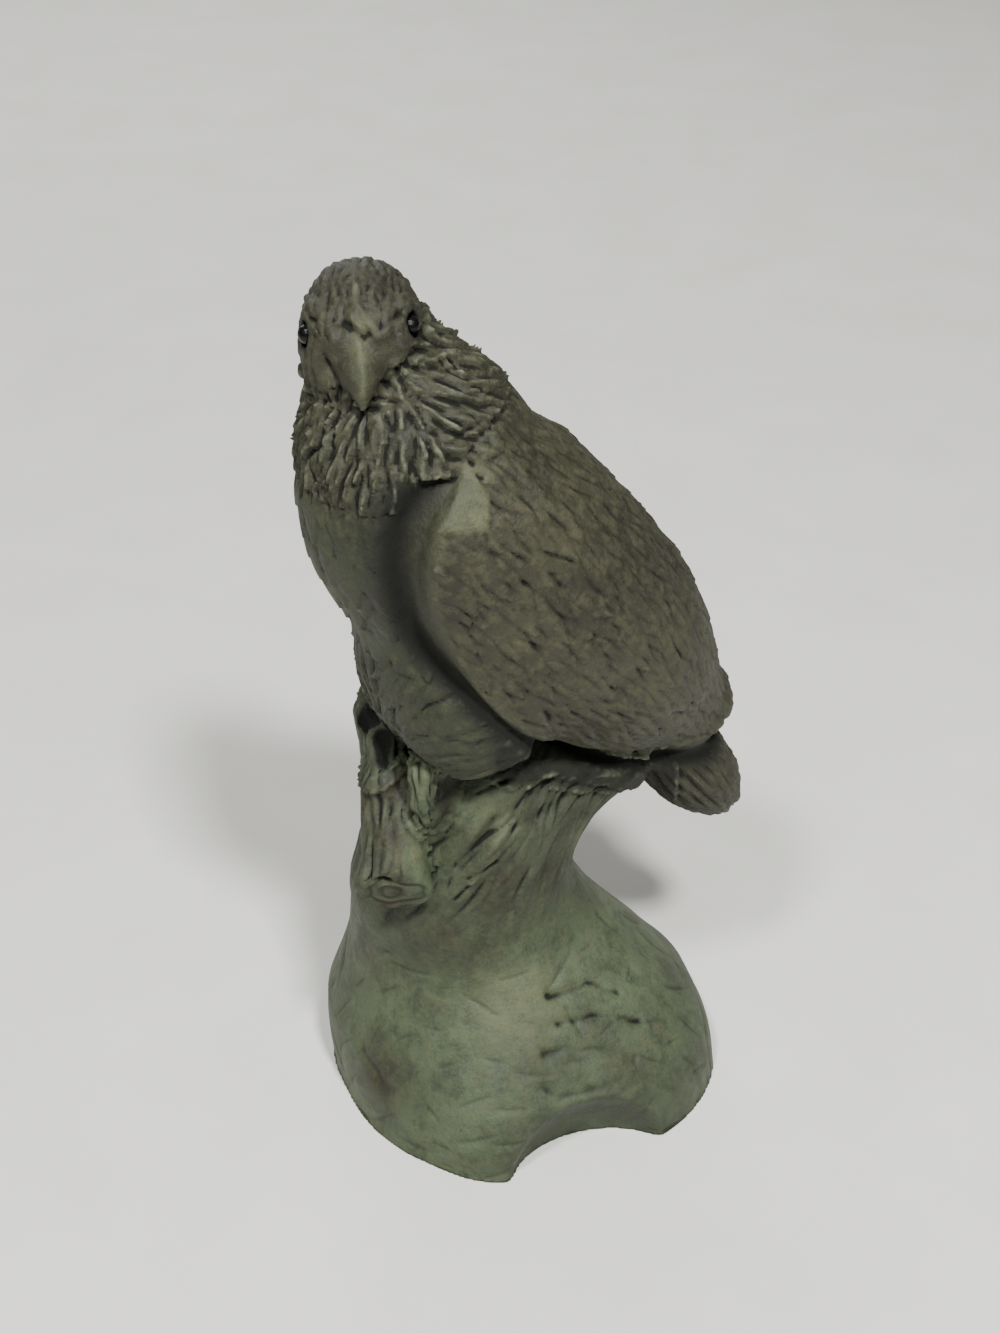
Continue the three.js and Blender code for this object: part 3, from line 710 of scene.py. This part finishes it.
# Stump: single cuts, each with its width and depth
STUMP_LINES = [
    ([(4.3, -18.0, 72.5), (1.5, -19.6, 70.6), (-2.7, -22, 68)], 0.9, 0.8),
    ([(0.6, -20.6, 63.5), (-5.1, -21.6, 60.0)], 0.9, 0.9),
    ([(-5.1, -21.5, 58.3), (-7.6, -21.4, 55.3)], 0.9, 0.9),
    ([(6.6, -14.1, 78.4), (0.6, -16.3, 79.5), (-3.0, -18, 78)], 0.7, 0.6),
    ([(7.5, -14.9, 76.0), (0.6, -19.6, 72.5), (-6.9, -21.4, 62.9)], 2.2, 1.1),
    ([(13.8, -11.7, 72.5), (4.3, -18.4, 70.0)], 2.4, 0.9),
    ([(-11, -17, 79), (-11.2, -20, 74)], 3.0, 1.6),
]
for line, width, depth in STUMP_LINES:
    carved += ~is_bird * incise(line, points, width, depth)

# Base: chisel marks across the front, each with its width and depth
BASE_LINES = [
    ([(13.3, -23.1, 26.8), (19.3, -20.4, 26.6), (24, -18.8, 25), (28.4, -17.3, 22.4)], 1.5, 0.7),
    ([(9.3, -28.2, 22), (13, -26.5, 22.6), (18.2, -25.1, 21.9), (28.3, -22.6, 17.7)], 1.6, 0.65),
    ([(9, -31, 17), (12.3, -31.7, 15.9), (17, -30, 15.9), (22.2, -28.4, 14.6)], 1.7, 0.6),
    ([(11.3, -20.8, 31.1), (15, -18.5, 31.6), (18.3, -16.3, 31.3), (24.4, -14.5, 27.8)], 1.5, 0.9),
    ([(34.6, -16.9, 17.4), (38.9, -16.8, 12.0), (41.2, -16.3, 6.1)], 1.2, 0.25),
    ([(-27, -18.5, 15.5), (-24, -23, 14.3), (-21.2, -26.0, 12.4)], 2.5, 0.6),
]
# They wander, and run thin in places
wander = 0.5 * np.sin(points[:, [1, 2, 0]] * 0.5) + 0.2 * np.sin(points[:, [2, 0, 1]] * 1.2)
ragged = 0.6 + 0.4 * np.sin(points[:, 0] * 0.7)
for line, width, depth in BASE_LINES:
    carved += is_base * incise(line, points + wander, width, depth) * (0.6 + 0.7 * ragged)

# The shoulder: a smooth plate with a pointed top, drawn as the bird is seen from its left side
SHOULDER = [(28.5, 74), (36.5, 64.5), (28.2, 63.8), (26.4, 68.3)]
inside = np.full(len(points), FAR, np.float32)
for (ax, az), (bx, bz) in zip(SHOULDER, SHOULDER[1:] + SHOULDER[:1]):
    side = (bird_x - ax) * (bz - az) - (bird_z - az) * (bx - ax)
    side /= math.hypot(bx - ax, bz - az)
    inside = np.minimum(inside, side)
on_left_side = bird_y > 8
shoulder = smooth(inside / 0.8 + 0.5) * on_left_side
carved = carved * (1 - 0.8 * shoulder) + 0.6 * shoulder

# The top of the head stays under the height of the block
HEAD_TOP = 177.5
carved -= 0.3 * smooth((points[:, 2] - HEAD_TOP) / 2)

# The eyes are left clear
EYE_CLEARANCE = 1.6
socket_distance = sockets(head_at) - SOCKET_RADIUS
carved *= np.where(is_head, smooth(socket_distance / EYE_CLEARANCE), 1)

INSET = 0.3  # the skin lies this far inside the form, because more of the carving is raised than cut
points[~on_ground] += (normals * (carved - INSET)[:, None])[~on_ground]


def to_mesh(name, points, quads):
    mesh = bpy.data.meshes.new(name)
    mesh.vertices.add(len(points))
    mesh.vertices.foreach_set("co", (points * MM).astype(np.float32).ravel())
    mesh.loops.add(quads.size)
    mesh.loops.foreach_set("vertex_index", quads.astype(np.int32).ravel())
    mesh.polygons.add(len(quads))
    mesh.polygons.foreach_set("loop_start", np.arange(0, quads.size, 4, dtype=np.int32))
    mesh.polygons.foreach_set("loop_total", np.full(len(quads), 4, np.int32))
    mesh.update(calc_edges=True)
    mesh.validate()
    piece = bpy.data.objects.new(name, mesh)
    bpy.context.scene.collection.objects.link(piece)
    return piece


def paint(mesh, name, values):
    layer = mesh.attributes.new(name, "FLOAT", "POINT")
    layer.data.foreach_set("value", np.ascontiguousarray(values, np.float32))


# The carving stays inside the box of the CAD part
box_low, box_high = (np.array(v, np.float32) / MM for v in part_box("carving"))
points = np.clip(points, box_low, box_high)
stone_piece = to_mesh("stone_skin", points, quads)
# How deep each point lies below the carving round it, close by and further off, for the painted shade and
# highlight
close = averaged(carved, edges, 6) - carved
wide = ((averaged(points, edges, 14) - points) * normals).sum(1)
paint(stone_piece.data, "hollow", averaged(close, edges, 1))
paint(stone_piece.data, "hollow_wide", wide)

# Broad tints: places where the stone is pale or brown, and spots of painted shade in recesses, each with
# its radius
PALE = [
    ((-14.5, -23, 68), 4), ((-2, -27, 83), 9), ((1, -20, 73), 8),
    ((-12.5, -24, 84), 4), ((4, -22, 30), 15), ((17, -7, 60), 6), ((-21, -22, 172.5), 3.5),
]
BROWN = [
    ((1, -20, 58), 13), ((12, -12, 56), 12), ((-12, -21, 46), 11), ((-23, -24, 13), 12),
    ((-22.5, -22, 71), 9), ((14, -8, 66), 11), ((2, -14, 68), 7),
    ((-19, -25, 58), 6), ((24, -22, 14), 9), ((-3, -20, 42), 8),
]
SHADE_SPOTS = [((-11, -18, 79), 6), ((-20.6, -15, 86.6), 3), ((-23.2, -9.5, 89.6), 3)]
pale = np.max([spot(middle, radius, points) for middle, radius in PALE], axis=0)
pale = np.maximum(pale, shoulder * 0.85)
pale = np.maximum(pale, is_rim * 0.35)
pale = np.maximum(pale, is_head * np.exp(-(from_line(RIDGE, head_at) / 1.1) ** 2))
brown = np.max([spot(middle, radius, points) for middle, radius in BROWN], axis=0)
on_trunk = is_stump * smooth((points[:, 2] - 40) / 12) * (1 - smooth_top)
brown = np.maximum(brown, 0.4 * on_trunk)
brown = np.maximum(brown, on_stub * smooth((-15 - points[:, 0]) / 3))
# Shade, from the eye sockets down to the scoop; the ruff, head, thighs and stump are a little darker too
shade = np.where(is_head & (socket_distance < 0.8), 1.4, 0)
shade = np.maximum(shade, under_wing * np.exp(-((oval - 2) / 2.5) ** 2))
shade = np.maximum(shade, is_belly * 0.75)
darker = 0.22 * (is_ruff | is_head | is_thigh) + 0.18 * is_stump * (1 - smooth_top)
shade = np.maximum(shade, darker)
shade = np.maximum(shade, is_thigh * 0.7 * smooth((points[:, 0] + 6) / 9))
# Painted shade in the stump's recess and in the hollows beside the toes
for middle, radius in SHADE_SPOTS:
    shade = np.maximum(shade, 1.4 * spot(middle, radius, points))
toe_hollow = np.min([hollow(bird_at) for hollow in toe_hollows], axis=0)
shade = np.maximum(shade, 1.3 * smooth(1.2 - toe_hollow / 1.4))
shade = np.maximum(shade, 0.3 * (scoop(points) < 1.2))
paint(stone_piece.data, "pale", averaged(pale, edges, 3))
paint(stone_piece.data, "brown", brown)
paint(stone_piece.data, "shade", averaged(np.clip(shade, 0, 1), edges, 3))
paint(stone_piece.data, "bird", averaged((is_bird & ~is_toe).astype(np.float32), edges, 4))
paint(stone_piece.data, "green", averaged((is_breast | is_thigh).astype(np.float32), edges, 10))

# Thinned where it is even, and kept inside the box afterwards
thin = stone_piece.modifiers.new("thin", "DECIMATE")
thin.ratio = min(1.0, SKIN_FACES / (len(quads) * 2))
deps = bpy.context.evaluated_depsgraph_get()
thinned = bpy.data.meshes.new_from_object(stone_piece.evaluated_get(deps))
stone_piece.modifiers.clear()
stone_piece.data = thinned
low_corner, high_corner = box_low * MM, box_high * MM
for vertex in thinned.vertices:
    vertex.co = [min(max(v, low), high) for v, low, high in zip(vertex.co, low_corner, high_corner)]
print("thinned to", len(thinned.polygons), "triangles")
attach(stone_piece, "root")
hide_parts("carving")
for polygon in thinned.polygons:
    polygon.use_smooth = True


# Materials
class Nodes:
    """A new material, with short ways to add nodes to it. Values may be numbers, colours or sockets."""

    def __init__(self, name):
        self.material = bpy.data.materials.new(name)
        self.material.use_nodes = True
        self.tree = self.material.node_tree
        self.shader = self.tree.nodes["Principled BSDF"]

    def add(self, kind, **values):
        node = self.tree.nodes.new(kind)
        for key, value in values.items():
            setattr(node, key, value)
        return node

    def link(self, a, b):
        self.tree.links.new(a, b)

    def attribute(self, name):
        return self.add("ShaderNodeAttribute", attribute_name=name).outputs["Fac"]

    def object_coords(self):
        return self.add("ShaderNodeTexCoord").outputs["Object"]

    def noise(self, scale, detail=4.0, roughness=0.6, coords=None, distortion=0.0):
        node = self.add("ShaderNodeTexNoise")
        node.inputs["Scale"].default_value = scale
        node.inputs["Detail"].default_value = detail
        node.inputs["Roughness"].default_value = roughness
        node.inputs["Distortion"].default_value = distortion
        self.link(coords or self.object_coords(), node.inputs["Vector"])
        return node.outputs["Fac"]

    def fit(self, value, a, b, c=0.0, d=1.0):
        node = self.add("ShaderNodeMapRange")
        node.inputs["From Min"].default_value = a
        node.inputs["From Max"].default_value = b
        node.inputs["To Min"].default_value = c
        node.inputs["To Max"].default_value = d
        self.link(value, node.inputs["Value"])
        return node.outputs["Result"]

    def mix(self, factor, a, b, mode="MIX"):
        node = self.add("ShaderNodeMix", data_type="RGBA", blend_type=mode)
        for socket, value in ((node.inputs[0], factor), (node.inputs[6], a), (node.inputs[7], b)):
            if isinstance(value, (int, float)):
                socket.default_value = value
            elif isinstance(value, tuple):
                socket.default_value = (*value, 1)
            else:
                self.link(value, socket)
        return node.outputs[2]

    def math(self, operation, a, b):
        node = self.add("ShaderNodeMath", operation=operation)
        for socket, value in zip(node.inputs, (a, b)):
            if isinstance(value, (int, float)):
                socket.default_value = value
            else:
                self.link(value, socket)
        return node.outputs[0]


def rgb(code):
    """Linear colour of a screen colour written as six hex digits."""
    parts = [int(code[i:i + 2], 16) / 255 for i in (0, 2, 4)]
    return tuple(v / 12.92 if v <= 0.04045 else ((v + 0.055) / 1.055) ** 2.4 for v in parts)


GREEN = rgb("46513a")
DEEP_GREEN = rgb("343d2b")
GREEN_MOTTLE = rgb("262d1f")
EARTH = rgb("232114")
OLIVE = rgb("333323")
DEEP_OLIVE = rgb("242317")
DARK_GREEN = rgb("242c1a")
OLIVE_MOTTLE = rgb("1b1a10")
PALE_STONE = rgb("5b6045")
DUST = rgb("515139")
PEPPER = rgb("1c1c10")
CREVICE_SHADE = rgb("060703")
HIGHLIGHT_STONE = rgb("676b58")


def stone():
    n = Nodes("stone")
    broad = n.noise(45, 5, 0.6)
    fine = n.noise(420, 6, 0.65)
    grain = n.noise(1500, 4, 0.7)
    stain = n.noise(70, 5, 0.7, distortion=0.8)
    blotch = n.noise(160, 6, 0.75)
    hollow = n.attribute("hollow")

    # Stump and base: grey-green, mottled, with brown stains
    low_colour = n.mix(n.fit(broad, 0.35, 0.65), GREEN, DEEP_GREEN)
    low_colour = n.mix(n.fit(blotch, 0.46, 0.62, 0, 0.75), low_colour, GREEN_MOTTLE)
    brown = n.math("MULTIPLY", n.attribute("brown"), n.fit(stain, 0.25, 0.55))
    brown = n.math("MAXIMUM", n.fit(stain, 0.56, 0.68, 0, 0.5), brown)
    low_colour = n.mix(brown, low_colour, EARTH)

    # Bird: olive, greener on the breast and the thighs
    bird_colour = n.mix(n.fit(broad, 0.38, 0.62), OLIVE, DEEP_OLIVE)
    bird_colour = n.mix(n.math("MULTIPLY", n.attribute("green"), 0.7), bird_colour, DARK_GREEN)
    bird_colour = n.mix(n.fit(blotch, 0.48, 0.66, 0, 0.6), bird_colour, OLIVE_MOTTLE)
    colour = n.mix(n.attribute("bird"), low_colour, bird_colour)

    # Pale places, dust and dark grains
    pale = n.math("MULTIPLY", n.attribute("pale"), n.fit(fine, 0.3, 0.6, 0.3, 0.75))
    colour = n.mix(pale, colour, PALE_STONE)
    colour = n.mix(n.fit(fine, 0.45, 0.65, 0.0, 0.35), colour, DUST)
    colour = n.mix(n.fit(grain, 0.55, 0.7, 0.0, 0.4), colour, PEPPER)

    # Painted shade in the hollows, and a painted highlight on the ridges
    dark = n.math("MAXIMUM", n.fit(hollow, 0.02, 0.2), n.fit(n.attribute("hollow_wide"), 0.15, 0.8))
    dark = n.math("MAXIMUM", n.math("MULTIPLY", dark, 0.95), n.attribute("shade"))
    # Painted shade: the stone darkens towards the crevice colour where it lies deep in the carving
    colour = n.mix(dark, colour, CREVICE_SHADE)
    # Painted highlight: the stone pales on the ridges, where the carving stands proud of its surroundings
    ridge_highlight = n.math("MULTIPLY", n.fit(hollow, -0.12, -0.5), n.fit(fine, 0.4, 0.6, 0.2, 0.85))
    colour = n.mix(ridge_highlight, colour, HIGHLIGHT_STONE)
    n.link(colour, n.shader.inputs["Base Color"])

    # Matt in the hollows, and a fine grit all over
    n.link(n.math("MAXIMUM", n.fit(fine, 0.3, 0.7, 0.5, 0.75), dark), n.shader.inputs["Roughness"])
    n.shader.inputs["Specular IOR Level"].default_value = 0.35
    bump = n.add("ShaderNodeBump")
    bump.inputs["Strength"].default_value = 0.8
    bump.inputs["Distance"].default_value = 0.7 * MM
    height = n.math("ADD", n.math("MULTIPLY", fine, 0.7), n.math("MULTIPLY", grain, 0.3))
    n.link(height, bump.inputs["Height"])
    n.link(bump.outputs["Normal"], n.shader.inputs["Normal"])
    return n.material


def bead():
    n = Nodes("black_bead")
    specks = n.noise(900, 2, 0.5)
    n.link(n.mix(n.fit(specks, 0.4, 0.6), rgb("010101"), rgb("050504")), n.shader.inputs["Base Color"])
    n.link(n.fit(specks, 0.3, 0.7, 0.25, 0.4), n.shader.inputs["Roughness"])
    n.shader.inputs["Specular IOR Level"].default_value = 0.2
    return n.material


def cloth():
    n = Nodes("pale_floor")
    patches = n.noise(30, 3, 0.5)
    colour = n.mix(n.fit(patches, 0.3, 0.7), rgb("d3d2cb"), rgb("d9d8d2"))
    n.link(colour, n.shader.inputs["Base Color"])
    n.shader.inputs["Roughness"].default_value = 0.9
    return n.material


thinned.materials.clear()
thinned.materials.append(stone())
bead_material = bead()
for name in ("left_eye", "right_eye"):
    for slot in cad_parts[name].material_slots:
        slot.material = bead_material

# Floor, light and camera, in metres
FLOOR_SIZE = 4
WORLD_STRENGTH = 0.24
LAMP_AIM = (0, 0, 0.09)
CAMERA_PLACE = (0.001, -0.351, 0.314)
CAMERA_PITCH = math.radians(32)  # down from level

bpy.ops.mesh.primitive_plane_add(size=FLOOR_SIZE, location=(0, 0, 0))
floor = bpy.context.object
floor.data.materials.append(cloth())

world = bpy.data.worlds.new("studio")
bpy.context.scene.world = world
world.use_nodes = True
background = world.node_tree.nodes["Background"]
background.inputs["Color"].default_value = (0.9, 0.9, 0.88, 1)
background.inputs["Strength"].default_value = WORLD_STRENGTH


def lamp(name, place, size, power):
    data = bpy.data.lights.new(name, "AREA")
    data.size = size
    data.energy = power
    light = bpy.data.objects.new(name, data)
    light.location = place
    light.rotation_euler = (Vector(LAMP_AIM) - Vector(place)).to_track_quat("-Z", "Y").to_euler()
    bpy.context.scene.collection.objects.link(light)


lamp("right", (0.2, -0.58, 0.92), size=0.12, power=17.5)
lamp("left", (-0.24, -0.5, 0.92), size=0.12, power=8.5)
lamp("back", (-0.25, 0.85, 0.6), size=0.6, power=4.5)

camera_data = bpy.data.cameras.new("camera")
camera_data.sensor_width = 36
camera_data.lens = 59.4
camera_data.clip_start = 0.01
camera = bpy.data.objects.new("camera", camera_data)
camera.location = CAMERA_PLACE
camera.rotation_euler = (math.pi / 2 - CAMERA_PITCH, 0, 0)
bpy.context.scene.collection.objects.link(camera)
bpy.context.scene.camera = camera
